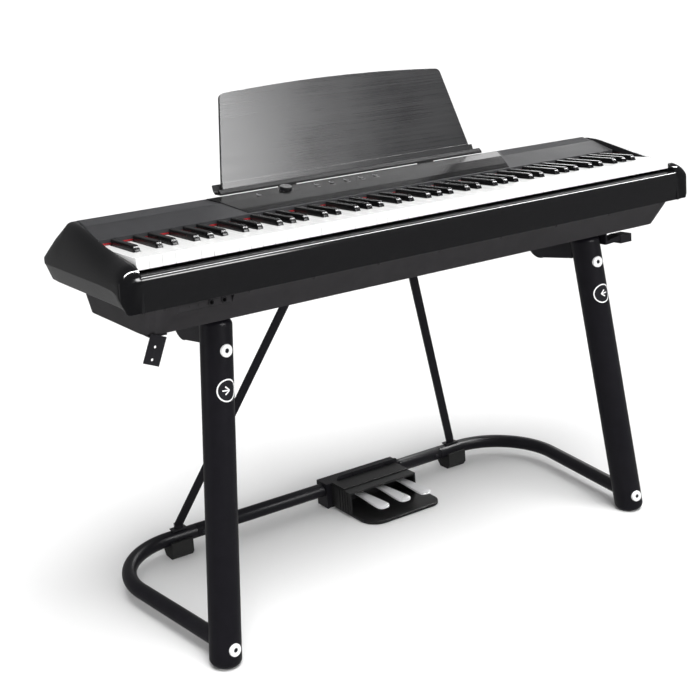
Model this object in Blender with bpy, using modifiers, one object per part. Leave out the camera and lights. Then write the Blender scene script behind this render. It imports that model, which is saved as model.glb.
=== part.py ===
"""Digital piano on a tube stand, with a music rest and a three-pedal unit.

Metres, +Z up, +X to the player's right, -Y towards the player.  The origin is on the
floor, under the middle of the whole object's box.  Every separate piece is one object.
"""
import bpy
import bmesh
from math import atan2, cos, pi, radians, sin, tan
from mathutils import Matrix, Vector

MM = 0.001
GAP = 0.3                      # clearance between neighbouring pieces

# ---- driving dimensions, mm.  Inside this file y = 0 is the front edge of the white keys
# ---- and z = 0 is the top of the white keys; place() moves them to the object's frame.
KEY_HEIGHT = 750.0             # top of the white keys above the floor
FRONT_SHIFT = 233.0            # distance from the white keys' front edge to the origin, in y
FLOOR = -KEY_HEIGHT

KEY_PITCH = 23.5               # keyboard
WHITE_COUNT = 52
OCTAVE = 7 * KEY_PITCH
KEYS_LEFT = -KEY_PITCH * WHITE_COUNT / 2
FIRST_C = KEYS_LEFT + 2 * KEY_PITCH
FIRST_BLACK = KEYS_LEFT + 26.86
BLACKS_IN_OCTAVE = (21.15, 49.35, 90.64, 117.5, 144.36)
KEY_SLIT = 0.5
WHITE_DEPTH = 20.0
BLACK_FRONT_Y = 50.0
BLACK_CAP_END = 145.5
BLACK_HALF_LOW, BLACK_HALF_TOP = 6.85, 4.9
BLACK_TOP = 10.5
KEY_REAR_Y = 218.0
HINGE_Y, HINGE_Z = 212.0, -12.0
KEY_BED_TOP = -46.0

BODY_HALF = 650.0              # case
WELL_HALF = 612.0
FRONT_Y = -20.0
REAR_Y = 328.0
SEAM_Z = -85.0
BOTTOM_Z = -135.0
WALL = 3.0
LOWER_TOP = (-606.0, 606.0, -12.5, 277.0)
LOWER_BOTTOM = (-596.0, 596.0, 20.0, 272.0)
CORNER = 26.0
RIDGE_X = 620.0                # highest line of an end cheek
FLANGE_X = 598.0               # ledge inside a cheek that covers the lower case's edge

PANEL_FRONT = (148.0, 11.5)    # (y, z) points along the sloping top
PANEL_BREAK = (201.0, 29.0)
PANEL_REAR = (236.0, 36.5)
PANEL_THICK = 2.2
GRILLE_Y = (203.5, 233.0)
GRILLE_OUTER = 609.0
GRILLE_INNER = (347.0, 363.0)
CONSOLE_Y = (152.0, 233.0)
CONSOLE_HALF = (314.0, 355.0)
CONSOLE_RISE = 1.5

JACKS_X = (-549.0, -446.0)     # front socket recess
JACKS_Z = (-101.0, -87.0)
JACK_AT = (-486.0, -462.0)
REAR_PLATE_X = (380.0, 470.0)

REST_HALF = (306.0, 272.0)     # music rest board: half width at the bottom and at the top
REST_HEIGHT = 185.0
REST_CROWN = 9.0
REST_LEAN = radians(14.3)
REST_AT = (262.0, 44.0)
REST_THICK = 6.0
LEDGE_HALF = 320.0
REST_FEET_X = 170.0

LEG_RADIUS = 29.0              # stand
LEG_WALL = 2.5
TUBE_WALL = 1.6
LEG_HIGH = Vector((440.9, 74.3, -150.0))
LEG_LOW = Vector((499.0, 35.7, -710.0))
CAP_RADIUS = 11.5
CAP_TURN = radians(7.0)
TUBE_RADIUS = 15.0
TUBE_FRONT_Z, TUBE_REAR_Z = -713.4, -708.8
TUBE_REAR_Y = 464.5
TUBE_BEND = 145.0
TUBE_BEND_X = 395.6
RAIL_ANGLE = radians(8.7)
TUBE_JOINT_X = 333.0
FOOT_X = (350.0, 400.0)
FOOT_HALF_Y = 21.5
BRACE_LOW = Vector((372.0, 464.5, -684.0))
BRACE_HIGH = Vector((131.0, 275.0, -140.5))
ARM_X = 441.0

PEDAL_X = (49.0, 107.0, 165.0)  # pedal unit
PEDAL_BASE = (13.0, 214.0, 304.0, 443.0)
HOUSING = (8.0, 190.0, 371.0, 444.0)
HOUSING_TOP = -691.0
PEDAL_HINGE = (430.0, -708.5)    # (y, z)
PEDAL_TIP = 296.0

FINISHES = {                   # base colour, roughness, metallic
    "gloss_case": ((0.006, 0.006, 0.007), 0.18, 0.0),
    "matte_case": ((0.028, 0.027, 0.028), 0.55, 0.0),
    "panel": ((0.035, 0.035, 0.037), 0.5, 0.0),
    "console": ((0.008, 0.008, 0.009), 0.15, 0.0),
    "grille": ((0.045, 0.045, 0.047), 0.8, 0.0),
    "speaker": ((0.02, 0.02, 0.02), 0.7, 0.0),
    "ivory": ((0.85, 0.85, 0.84), 0.25, 0.0),
    "ebony": ((0.012, 0.012, 0.013), 0.4, 0.0),
    "felt": ((0.42, 0.01, 0.02), 0.95, 0.0),
    "coated_steel": ((0.012, 0.012, 0.015), 0.42, 0.0),
    "chassis": ((0.05, 0.05, 0.055), 0.6, 0.0),
    "chrome": ((0.75, 0.75, 0.76), 0.15, 1.0),
    "white_cap": ((0.8, 0.8, 0.8), 0.4, 0.0),
    "rubber": ((0.012, 0.012, 0.012), 0.8, 0.0),
    "brushed_board": ((0.09, 0.09, 0.095), 0.38, 0.1),
    "circuit": ((0.02, 0.12, 0.05), 0.5, 0.0),
    "button": ((0.02, 0.02, 0.022), 0.35, 0.0),
    "pedal_plastic": ((0.015, 0.015, 0.015), 0.5, 0.0),
}

for old in list(bpy.data.objects):
    bpy.data.objects.remove(old)

PIECES = bpy.data.collections.new("digital_piano")
CUTTERS = bpy.data.collections.new("cutters")
bpy.context.scene.collection.children.link(PIECES)
bpy.context.scene.collection.children.link(CUTTERS)


# ------------------------------------------------------------------ helpers
def place(x, y, z):
    """Turn a point in this file's millimetres into the object's own metres."""
    return Vector((x * MM, (y - FRONT_SHIFT) * MM, (z + KEY_HEIGHT) * MM))


def finish(name):
    mat = bpy.data.materials.get(name)
    if mat is None:
        colour, roughness, metallic = FINISHES[name]
        mat = bpy.data.materials.new(name)
        mat.use_nodes = True
        shader = mat.node_tree.nodes["Principled BSDF"]
        shader.inputs["Base Color"].default_value = (*colour, 1.0)
        shader.inputs["Roughness"].default_value = roughness
        shader.inputs["Metallic"].default_value = metallic
    return mat


def add(name, mesh, material=None, origin=None):
    """Put a mesh into the scene, with its origin at a point; no material makes a cutter."""
    obj = bpy.data.objects.new(name, mesh)
    if origin is not None:
        mesh.transform(Matrix.Translation(-origin))
        obj.location = origin
    if material is None:
        CUTTERS.objects.link(obj)
        obj.hide_render = True
        obj.display_type = "WIRE"
    else:
        PIECES.objects.link(obj)
        mesh.materials.append(finish(material))
        mesh.shade_smooth()
        mesh.set_sharp_from_angle(angle=radians(30))
    return obj


def mesh_from(bm, name="piece"):
    bmesh.ops.recalc_face_normals(bm, faces=bm.faces[:])
    mesh = bpy.data.meshes.new(name)
    bm.to_mesh(mesh)
    bm.free()
    return mesh


def frustum(low, high):
    """Box between two level rectangles, each (x0, x1, y0, y1, z)."""
    bm = bmesh.new()
    bmesh.ops.create_cube(bm, size=2.0)
    for vert in bm.verts:
        x0, x1, y0, y1, z = high if vert.co.z > 0 else low
        vert.co = place(x1 if vert.co.x > 0 else x0, y1 if vert.co.y > 0 else y0, z)
    return mesh_from(bm)


def box(x0, x1, y0, y1, z0, z1):
    return frustum((x0, x1, y0, y1, z0), (x0, x1, y0, y1, z1))


def curve_mesh(curve, merge=1e-5):
    """The mesh of a curve, with its loose caps welded on."""
    guide = bpy.data.objects.new("guide", curve)
    CUTTERS.objects.link(guide)
    depsgraph = bpy.context.evaluated_depsgraph_get()
    mesh = bpy.data.meshes.new_from_object(guide.evaluated_get(depsgraph))
    bpy.data.objects.remove(guide)
    bm = bmesh.new()
    bm.from_mesh(mesh)
    bmesh.ops.remove_doubles(bm, verts=bm.verts[:], dist=merge)
    bmesh.ops.recalc_face_normals(bm, faces=bm.faces[:])
    bm.to_mesh(mesh)
    bm.free()
    return mesh


def outline_mesh(points, thickness):
    """Flat filled outline in its own XY plane, with its thickness along Z, in metres."""
    curve = bpy.data.curves.new("outline", "CURVE")
    curve.dimensions = "2D"
    curve.fill_mode = "BOTH"
    curve.extrude = thickness * MM / 2
    curve.render_resolution_u = 0
    spline = curve.splines.new("POLY")
    spline.points.add(len(points) - 1)
    for point, (a, b) in zip(spline.points, points):
        point.co = (a * MM, b * MM, 0.0, 1.0)
    spline.use_cyclic_u = True
    return curve_mesh(curve)


def profile(points, x0, x1):
    """A (y, z) outline carried along X from x0 to x1."""
    mesh = outline_mesh(points, x1 - x0)
    turn = Matrix(((0, 0, 1, 0), (1, 0, 0, 0), (0, 1, 0, 0), (0, 0, 0, 1)))
    mesh.transform(Matrix.Translation(place((x0 + x1) / 2, 0, 0)) @ turn)
    return mesh


def plate(points, z0, z1):
    """An (x, y) outline carried along Z from z0 to z1."""
    mesh = outline_mesh(points, z1 - z0)
    mesh.transform(Matrix.Translation(place(0, 0, (z0 + z1) / 2)))
    return mesh


def cylinder(start, end, radius, sides=24, end_radius=None):
    """Closed cylinder or cone between two points."""
    a, b = place(*start), place(*end)
    bm = bmesh.new()
    bmesh.ops.create_cone(bm, cap_ends=True, segments=sides, radius1=radius * MM,
                          radius2=(radius if end_radius is None else end_radius) * MM,
                          depth=(b - a).length)
    turn = (b - a).to_track_quat("Z", "Y").to_matrix().to_4x4()
    bmesh.ops.transform(bm, matrix=Matrix.Translation((a + b) / 2) @ turn, verts=bm.verts[:])
    return mesh_from(bm)


def tube(points, radius, resolution=3):
    """Round tube along a list of points, with filled caps."""
    curve = bpy.data.curves.new("tube", "CURVE")
    curve.dimensions = "3D"
    curve.bevel_depth = radius * MM
    curve.bevel_resolution = resolution
    curve.use_fill_caps = True
    curve.render_resolution_u = 0
    spline = curve.splines.new("POLY")
    spline.points.add(len(points) - 1)
    for point, at in zip(spline.points, points):
        point.co = (*place(*at), 1.0)
    return curve_mesh(curve)


def loft(rings):
    """Closed skin through rings of equally many (x, y, z) points."""
    bm = bmesh.new()
    loops = [[bm.verts.new(place(*point)) for point in ring] for ring in rings]
    count = len(loops[0])
    for near, far in zip(loops, loops[1:]):
        for i in range(count):
            j = (i + 1) % count
            bm.faces.new((near[i], near[j], far[j], far[i]))
    bm.faces.new(loops[0])
    bm.faces.new(loops[-1])
    return mesh_from(bm)


def merged(meshes):
    """One mesh holding several closed shells."""
    bm = bmesh.new()
    for mesh in meshes:
        bm.from_mesh(mesh)
    return mesh_from(bm)


def combine(obj, mesh, operation):
    """Boolean with another closed mesh, kept as a modifier."""
    tool = add(obj.name + "_" + operation.lower() + str(len(obj.modifiers)), mesh)
    step = obj.modifiers.new(operation.lower(), "BOOLEAN")
    step.operation = operation
    step.solver = "EXACT"
    step.object = tool
    return obj


def join(obj, *meshes):
    for mesh in meshes:
        combine(obj, mesh, "UNION")
    return obj


def cut(obj, *meshes):
    for mesh in meshes:
        combine(obj, mesh, "DIFFERENCE")
    return obj


def arc(cx, cy, radius, start, end, steps):
    """Points on a circle from one angle to another, in degrees."""
    turns = [radians(start + (end - start) * i / steps) for i in range(steps + 1)]
    return [(cx + radius * cos(t), cy + radius * sin(t)) for t in turns]


def rounded(x0, x1, y0, y1, radius, steps=4):
    """Rectangle with round corners, counter-clockwise."""
    return (arc(x1 - radius, y0 + radius, radius, -90, 0, steps)
            + arc(x1 - radius, y1 - radius, radius, 0, 90, steps)
            + arc(x0 + radius, y1 - radius, radius, 90, 180, steps)
            + arc(x0 + radius, y0 + radius, radius, 180, 270, steps))


def level_ring(rectangle, inset, z, radius):
    x0, x1, y0, y1 = rectangle
    return [(x, y, z) for x, y in rounded(x0 + inset, x1 - inset, y0 + inset, y1 - inset,
                                          max(radius - inset, 1.0))]


def mirrored(points, side):
    return [(side * p[0], *p[1:]) for p in points]


def names(stem):
    """The two sides of a paired piece, with their signs."""
    return ((stem + "_left", -1), (stem + "_right", 1))


def between(low, high, t):
    return low + (high - low) * t


# ------------------------------------------------------------------ case
def top_height(y):
    """Height of the sloping top at a distance y."""
    low, high = (PANEL_FRONT, PANEL_BREAK) if y < PANEL_BREAK[0] else (PANEL_BREAK, PANEL_REAR)
    return between(low[1], high[1], (y - low[0]) / (high[0] - low[0]))


def cheek_ring(y, edge, inner, ridge, power, low=SEAM_Z):
    """Cross-section of an end cheek at y, whose outer edge is inset by edge.

    From a ridge beside the keys the top rounds over like a superellipse to a lip at the side.
    """
    out = BODY_HALF - edge
    lip = min(-42.0, inner - 2.0)
    ring = [(WELL_HALF, y, low), (WELL_HALF, y, inner), (RIDGE_X, y, ridge)]
    for angle in (68, 48, 28, 0):
        across, up = cos(radians(angle)) ** (2 / power), sin(radians(angle)) ** (2 / power)
        ring.append((between(RIDGE_X, out, across), y, between(lip, ridge, up)))
    return ring + [(out - 3, y, -52.0), (out - 22 + 0.6 * min(edge, 10), y, low)]


def cheek():
    """Loft of the right cheek through its cross-sections, from front to back."""
    return [cheek_ring(FRONT_Y, 14, -38, -38, 2.0),
            cheek_ring(FRONT_Y + 2.5, 7, -27.5, -27.5, 2.0),
            cheek_ring(FRONT_Y + 6, 2.5, -20.5, -20.5, 2.0),
            cheek_ring(FRONT_Y + 14, 0, -14.5, -14.3, 2.0),
            cheek_ring(6, 0, -9.5, -9.3, 2.0),
            cheek_ring(50, 0, -4, -3.7, 2.1),
            cheek_ring(98, 0, 2, 8, 2.1),
            cheek_ring(145, 0, 11, 20, 2.1),
            cheek_ring(170, 0, 19.5, 26, 2.1),
            cheek_ring(201, 0, 29.5, 32.5, 2.1),
            cheek_ring(236, 0, 36.5, 36.6, 2.1),
            cheek_ring(258, 0, 19.5, 19.6, 3.0),
            cheek_ring(283, 0, -1, -0.9, 4.5),
            cheek_ring(308, 0.5, -20, -19.9, 6.0),
            cheek_ring(REAR_Y - 5, 3, -32, -31.9, 6.0, low=-80),
            cheek_ring(REAR_Y, 9, -36, -35.9, 6.0, low=-78)]


def build_upper_case():
    face, low = FRONT_Y + 0.1, SEAM_Z + 0.1
    front = [(-15, low), (face, -46), (face, -39), (face + 1.5, -34), (face + 5, -30),
             (face + 9, -27.5), (-1.5, -24.5), (-1.5, -28), (-10, -31), (-15, -38),
             (-16, -46), (-11.5, low)]
    back = REAR_Y - 0.1
    rear = [(236.5, 36.3), (283, -1.1), (back, -36.1), (back, -39), (279, low),
            (275.5, low), (322, -41), (280, -5), (236.5, 30.5)]
    case = add("upper_case", profile(front, -WELL_HALF - 2, WELL_HALF + 2), "gloss_case")
    rings = cheek()
    join(case, merged([loft([mirrored(ring, side) for ring in rings]) for side in (-1, 1)]))
    join(case, profile(rear, -WELL_HALF - 2, WELL_HALF + 2))
    join(case, merged([box(*sorted((side * FLANGE_X, side * (WELL_HALF + 2))), 0, 290, SEAM_Z,
                           SEAM_Z + WALL) for side in (-1, 1)]))
    hollows = [frustum((*sorted((side * 615, side * 622)), 6, 292, SEAM_Z - 5),
                       (*sorted((side * 616, side * 636)), 40, 270, -50)) for side in (-1, 1)]
    cut(case, merged(hollows))
    slots = [box(x - 21, x + 21, 241, 247, 10, 45) for x in (-REST_FEET_X, REST_FEET_X)]
    cut(case, merged(slots))
    return case


def lower_face_y(z):
    """Distance of the lower case's front face at a height z."""
    return between(LOWER_BOTTOM[2], LOWER_TOP[2], (z - BOTTOM_Z) / (SEAM_Z - BOTTOM_Z))


def build_lower_case():
    top = SEAM_Z - GAP
    outer = [level_ring(LOWER_BOTTOM, 0, BOTTOM_Z, CORNER), level_ring(LOWER_TOP, 0, top, CORNER)]
    inner = [level_ring(LOWER_BOTTOM, WALL, BOTTOM_Z + WALL, CORNER),
             level_ring(LOWER_TOP, WALL, top + 1, CORNER)]
    case = add("lower_case", loft(outer), "matte_case")
    cut(case, loft(inner))
    posts = [box(x - 8, x + 8, y - 8, y + 8, BOTTOM_Z + 1, KEY_BED_TOP - 4 - GAP)
             for x in (-560, -190, 190, 560) for y in (48, 205)]
    join(case, merged(posts))
    cut(case, box(JACKS_X[0], JACKS_X[1], -20, 14, *JACKS_Z),
        box(*REAR_PLATE_X, 250, 310, -126, -96))
    pockets = []
    for x in (-575, -419, -289, -152, -14, 134, 277, 420, 570):
        face = lower_face_y(-88)
        pockets.append(box(x - 2.6, x + 2.6, face - 4, face + 1.6, -91.5, SEAM_Z + 2))
    cut(case, merged(pockets))
    return case


def sheet_outline(rise=0.0, y0=PANEL_FRONT[0], y1=PANEL_REAR[0], thick=PANEL_THICK, lead=0.0):
    """(y, z) outline of a thin sheet that follows the sloping top."""
    front = top_height(y0) + lead
    top = [(y0, front), (y0 + 16, top_height(y0 + 16) + rise), (PANEL_BREAK[0], PANEL_BREAK[1] + rise),
           (y1, top_height(y1) + rise)]
    return top + [(y, z - thick) for y, z in reversed(top)]


def trapezoid(half_front, half_rear, y0, y1):
    return [(-half_front, y0), (half_front, y0), (half_rear, y1), (-half_rear, y1)]


def grille_outline(side, grow=0.0):
    """(x, y) outline of a loudspeaker grille, grown by grow on every side."""
    y0, y1 = GRILLE_Y[0] - grow, GRILLE_Y[1] + grow
    points = [(GRILLE_INNER[0] - grow, y0), (GRILLE_OUTER + grow, y0),
              (GRILLE_OUTER + grow, y1), (GRILLE_INNER[1] - grow, y1)]
    return mirrored(points, side)


def build_top_panel():
    panel = add("top_panel", profile(sheet_outline(), -WELL_HALF + GAP, WELL_HALF - GAP), "panel")
    windows = [plate(grille_outline(side, GAP), 0, 60) for side in (-1, 1)]
    console = trapezoid(CONSOLE_HALF[0] + GAP, CONSOLE_HALF[1] + GAP,
                        CONSOLE_Y[0] - GAP, CONSOLE_Y[1] + GAP)
    return cut(panel, merged(windows + [plate(console, 0, 60)]))


def build_grilles():
    for name, side in names("speaker_grille"):
        x = side * (GRILLE_OUTER + GRILLE_INNER[0]) / 2
        grille = add(name, profile(sheet_outline(y0=180, thick=1.6), x - 150, x + 150), "grille")
        combine(grille, plate(grille_outline(side), 0, 60), "INTERSECT")


def stadium(x, y, length, width):
    return rounded(x - length / 2, x + length / 2, y - width / 2, y + width / 2, width / 2 - 0.1)


def build_speakers():
    for name, side in names("speaker"):
        x, y = side * 480, 219
        speaker = add(name, plate(stadium(x, y, 116, 27), 16, 19), "speaker")
        join(speaker, plate(stadium(x, y, 78, 20), 5, 17))
        cut(speaker, loft([[(a, b, 10) for a, b in stadium(x, y, 40, 8)],
                           [(a, b, 21) for a, b in stadium(x, y, 104, 21)]]))


def console_normal():
    slope = atan2(PANEL_REAR[1] - PANEL_BREAK[1], PANEL_REAR[0] - PANEL_BREAK[0])
    return Vector((0, -sin(slope), cos(slope)))


def console_point(x, y, height):
    """Point at a height above the console, measured square to its surface."""
    surface = Vector((x, y, top_height(y) + CONSOLE_RISE))
    return surface + console_normal() * height


CONTROLS = {                   # name: x, y, radius, height above the console
    "power_button": (-256.0, 207.0, 4.5, 1.4),
    "volume_knob": (-192.0, 216.0, 12.0, 7.0),
    "function_button_1": (-125.0, 209.0, 4.5, 1.4),
    "function_button_2": (-90.0, 209.0, 4.5, 1.4),
    "function_button_3": (-55.0, 209.0, 4.5, 1.4),
    "function_button_4": (-20.0, 209.0, 4.5, 1.4),
    "function_button_5": (15.0, 209.0, 4.5, 1.4),
}


def build_console():
    sheet = sheet_outline(rise=CONSOLE_RISE, y0=CONSOLE_Y[0], y1=CONSOLE_Y[1] + 2, lead=0.5, thick=2.5)
    console = add("control_panel", profile(sheet, -360, 360), "console")
    combine(console, plate(trapezoid(*CONSOLE_HALF, CONSOLE_Y[0] + 0.01, CONSOLE_Y[1]), -10, 60),
            "INTERSECT")
    holes = []
    for name, (x, y, radius, _) in CONTROLS.items():
        bore = 4.0 if name == "volume_knob" else radius
        holes.append(cylinder(console_point(x, y, -8), console_point(x, y, 8), bore + 0.4))
    cut(console, merged(holes))
    for name, (x, y, radius, height) in CONTROLS.items():
        origin = place(*console_point(x, y, 0))
        if name == "volume_knob":
            knob = add(name, cylinder(console_point(x, y, 0.4), console_point(x, y, height),
                                      radius, sides=32, end_radius=radius - 1.2), "button", origin)
            join(knob, cylinder(console_point(x, y, -7), console_point(x, y, 2), 4.0 - 0.2, sides=16))
        else:
            add(name, cylinder(console_point(x, y, -5), console_point(x, y, height), radius),
                "button", origin)


def build_internals():
    bed = add("key_bed", box(-611, 611, -9, 226, KEY_BED_TOP - 4, KEY_BED_TOP), "chassis")
    join(bed, box(-611, 611, 206, 220, KEY_BED_TOP - 1, -WHITE_DEPTH - 0.6),
         box(-611, 611, 24, 34, KEY_BED_TOP - 1, -36))
    add("key_felt", box(-610.5, 610.5, 149.0, 151.0, 1.4, 8.8), "felt")
    board = add("main_board", box(-300, 60, 186, 234, 8, 9.6), "circuit")
    join(board, box(-230, -200, 200, 220, 9, 12), box(-80, -52, 196, 216, 9, 12),
         box(20, 44, 198, 228, 9, 15))


def build_socket_plates():
    z0, z1 = JACKS_Z
    front = add("jack_plate", box(JACKS_X[0] + GAP, JACKS_X[1] - GAP, -2.2, 0.4, z0 + GAP, z1 - GAP),
                "matte_case")
    z = (z0 + z1) / 2
    join(front, merged([cylinder((x, -4.0, z), (x, 16, z), 5.2) for x in JACK_AT]))
    cut(front, merged([cylinder((x, -6, z), (x, 13, z), 3.3) for x in JACK_AT]
                      + [cylinder((x, -4, z), (x, -0.8, z), 1.2, sides=10) for x in (-526, -510)]))
    rear = add("rear_jack_plate", box(REAR_PLATE_X[0] + GAP, REAR_PLATE_X[1] - GAP, 270, 273,
                                      -126 + GAP, -96 - GAP), "matte_case")
    join(rear, cylinder((402, 254, -111), (402, 272, -111), 7.0),
         box(434, 456, 254, 272, -118, -104))
    cut(rear, cylinder((402, 257, -111), (402, 276, -111), 4.5),
        box(437, 453, 257, 276, -116, -106))


# ------------------------------------------------------------------ keys
def black_centres():
    centres = [FIRST_BLACK]
    for octave in range(7):
        centres += [FIRST_C + OCTAVE * octave + step for step in BLACKS_IN_OCTAVE]
    return centres


BLACKS = black_centres()


def white_outline(index, rear):
    """(x, y) outline of one white key, notched beside its black neighbours."""
    left = KEYS_LEFT + KEY_PITCH * index + KEY_SLIT
    right = KEYS_LEFT + KEY_PITCH * (index + 1) - KEY_SLIT
    reach = BLACK_HALF_LOW + 1.0
    tail_left, tail_right = left, right
    for centre in BLACKS:
        if left < centre + reach < right:
            tail_left = centre + reach
        if left < centre - reach < right:
            tail_right = centre - reach
    notch = BLACK_FRONT_Y - 1.0
    points = [(left, 0.0), (right, 0.0)]
    if tail_right < right:
        points += [(right, notch), (tail_right, notch)]
    points += [(tail_right, rear), (tail_left, rear)]
    if tail_left > left:
        points += [(tail_left, notch), (left, notch)]
    return points


def black_key(centre):
    """Cap of a black key, and the stem behind it."""
    cap = frustum((centre - BLACK_HALF_LOW, centre + BLACK_HALF_LOW, BLACK_FRONT_Y, BLACK_CAP_END, -8),
                  (centre - BLACK_HALF_TOP, centre + BLACK_HALF_TOP, BLACK_FRONT_Y + 6,
                   BLACK_CAP_END, BLACK_TOP))
    return cap


def black_stem(centre, rear):
    return box(centre - 4, centre + 4, BLACK_CAP_END - 20, rear, -9.5, -1)


def white_comb(name, first, last):
    """White keys from first to last, joined at the rear by a web."""
    fingers = [plate(white_outline(i, 190), -WHITE_DEPTH, 0) for i in range(first, last)]
    comb = add(name, merged(fingers), "ivory")
    left = KEYS_LEFT + KEY_PITCH * first + 2
    right = KEYS_LEFT + KEY_PITCH * last - 2
    join(comb, box(left, right, 184, KEY_REAR_Y, -WHITE_DEPTH + 0.2, -11.5))


def black_comb(name, centres):
    comb = add(name, merged([black_key(x) for x in centres]), "ebony")
    join(comb, merged([black_stem(x, 200) for x in centres]))
    join(comb, box(centres[0] - 3, centres[-1] + 3, 195, KEY_REAR_Y, -9.2, -1.3))


WHITE_NOTES = ("c4", "d4", "e4", "f4", "g4", "a4", "b4")
BLACK_NOTES = ("c_sharp4", "d_sharp4", "f_sharp4", "g_sharp4", "a_sharp4")
MIDDLE_WHITE = 2 + 7 * 3       # index of C4
MIDDLE_BLACK = 1 + 5 * 3       # index of C sharp 4


def build_keys():
    white_comb("white_keys_bass", 0, MIDDLE_WHITE)
    white_comb("white_keys_treble", MIDDLE_WHITE + 7, WHITE_COUNT)
    black_comb("black_keys_bass", BLACKS[:MIDDLE_BLACK])
    black_comb("black_keys_treble", BLACKS[MIDDLE_BLACK + 5:])
    for i, note in enumerate(WHITE_NOTES):
        index = MIDDLE_WHITE + i
        hinge = place(KEYS_LEFT + KEY_PITCH * (index + 0.5), HINGE_Y, HINGE_Z)
        add("key_" + note, plate(white_outline(index, KEY_REAR_Y), -WHITE_DEPTH, 0), "ivory", hinge)
    for i, note in enumerate(BLACK_NOTES):
        centre = BLACKS[MIDDLE_BLACK + i]
        key = add("key_" + note, black_key(centre), "ebony", place(centre, HINGE_Y, HINGE_Z))
        join(key, black_stem(centre, KEY_REAR_Y))


# ------------------------------------------------------------------ music rest
def rest_outline():
    """Board outline: x across, height up the slope; crowned top with round corners."""
    low, high = REST_HALF
    crown = []
    steps = 10
    for i in range(steps + 1):
        t = 1 - 2 * i / steps
        crown.append(((high - 12) * t, REST_HEIGHT + REST_CROWN * (1 - t * t)))
    right = [(low - 3, 0), (low, 4), (high + 2.5, REST_HEIGHT - 14), (high, REST_HEIGHT - 6),
             (high - 5, REST_HEIGHT - 1.5)]
    left = [(-x, y) for x, y in reversed(right)]
    return right + crown + left


def build_music_rest():
    board = outline_mesh(rest_outline(), REST_THICK)
    lean = Matrix(((1, 0, 0, 0), (0, sin(REST_LEAN), -cos(REST_LEAN), 0),
                   (0, cos(REST_LEAN), sin(REST_LEAN), 0), (0, 0, 0, 1)))
    y, z = REST_AT
    board.transform(Matrix.Translation(place(0, y, z)) @ lean)
    add("music_rest_board", board, "brushed_board")
    channel = [(239.5, 37.6), (263, 37.6), (270, 43), (273.5, 54), (270.5, 55), (266.5, 44.5),
               (264, 41.6), (252, 41.6), (250.5, 47), (247, 47.5), (240, 41.5)]
    ledge = add("music_rest_ledge", profile(channel, -LEDGE_HALF, LEDGE_HALF), "matte_case")
    join(ledge, merged([box(x - 20, x + 20, 242, 246, 18, 39) for x in (-REST_FEET_X, REST_FEET_X)]))


# ------------------------------------------------------------------ stand
def leg_point(z, side):
    t = (z - LEG_HIGH.z) / (LEG_LOW.z - LEG_HIGH.z)
    point = LEG_HIGH.lerp(LEG_LOW, t)
    return Vector((side * point.x, point.y, z))


def turned_leg(side):
    """Leg with rounded ends, made as a stack of rings along its axis."""
    top, low = leg_point(-142.5, side), leg_point(-752.5, side)
    axis = (low - top).normalized()
    across = axis.cross(Vector((0, 1, 0))).normalized()
    along = axis.cross(across)
    length = (low - top).length
    sides = 28
    stations = [(0, 19), (2.5, 24.5), (7, 28), (13, LEG_RADIUS), (length - 13, LEG_RADIUS),
                (length - 7, 28), (length - 2.5, 24.5), (length, 19)]
    rings = []
    for distance, radius in stations:
        centre = top + axis * distance
        ring = [tuple(centre + (across * cos(a) + along * sin(a)) * radius)
                for a in (2 * pi * i / sides for i in range(sides))]
        rings.append(ring)
    return loft(rings)


def leg_normal(side):
    """Direction that the bolt caps face, square to the leg's axis."""
    axis = (leg_point(-700, side) - leg_point(-200, side)).normalized()
    front = Vector((-side * sin(CAP_TURN), -cos(CAP_TURN), 0))
    return (front - axis * front.dot(axis)).normalized()


def build_legs():
    for name, side in names("leg"):
        leg = add(name, turned_leg(side), "coated_steel")
        cut(leg, box(side * 500 - 60, side * 500 + 60, -30, 100, FLOOR - 20, FLOOR))
        rail = Vector((sin(RAIL_ANGLE) * side, cos(RAIL_ANGLE), 0))
        start = leg_point(TUBE_FRONT_Z, side)
        cut(leg, cylinder(start + rail * 20, start + rail * 60, TUBE_RADIUS + 3 * GAP))
        bore_top, bore_low = leg_point(-158, side), leg_point(FLOOR + 14, side)
        cut(leg, cylinder(bore_top, bore_low, LEG_RADIUS - LEG_WALL),
            cylinder(leg_point(FLOOR + 20, side), leg_point(FLOOR - 10, side), 5.0, sides=12))
    for end, z in (("upper", -197.0), ("lower", -714.6)):
        for stem, side in names("bolt_cap"):
            normal = leg_normal(side)
            centre = leg_point(z, side)
            cap = add(stem + "_" + end, cylinder(centre + normal * (LEG_RADIUS + GAP),
                                                 centre + normal * (LEG_RADIUS + 3.2),
                                                 CAP_RADIUS, end_radius=CAP_RADIUS - 1.2), "white_cap")
            cut(cap, cylinder(centre + normal * (LEG_RADIUS + 1.2),
                              centre + normal * (LEG_RADIUS + 5), 3.6, sides=6))


def rail_points(side):
    """Centre line of a base tube, from the leg round the rear bend to its joint."""
    centre_y = TUBE_REAR_Y - TUBE_BEND
    bend = arc(TUBE_BEND_X, centre_y, TUBE_BEND, -RAIL_ANGLE * 180 / pi, 90, 10)
    x, y = bend[0]
    start_y = 36.0 + 24.0
    flat = [(x - (y - start_y) * tan(RAIL_ANGLE), start_y)] + bend + [(TUBE_JOINT_X + GAP, TUBE_REAR_Y)]
    points = []
    for px, py in flat:
        rise = between(TUBE_FRONT_Z, TUBE_REAR_Z, (py - start_y) / (TUBE_REAR_Y - start_y))
        points.append((side * px, py, rise))
    return points


def beyond(inner, end):
    """A point 5 mm past the end of a line."""
    step = Vector(end) - Vector(inner)
    return tuple(Vector(end) + step.normalized() * 5)


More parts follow.
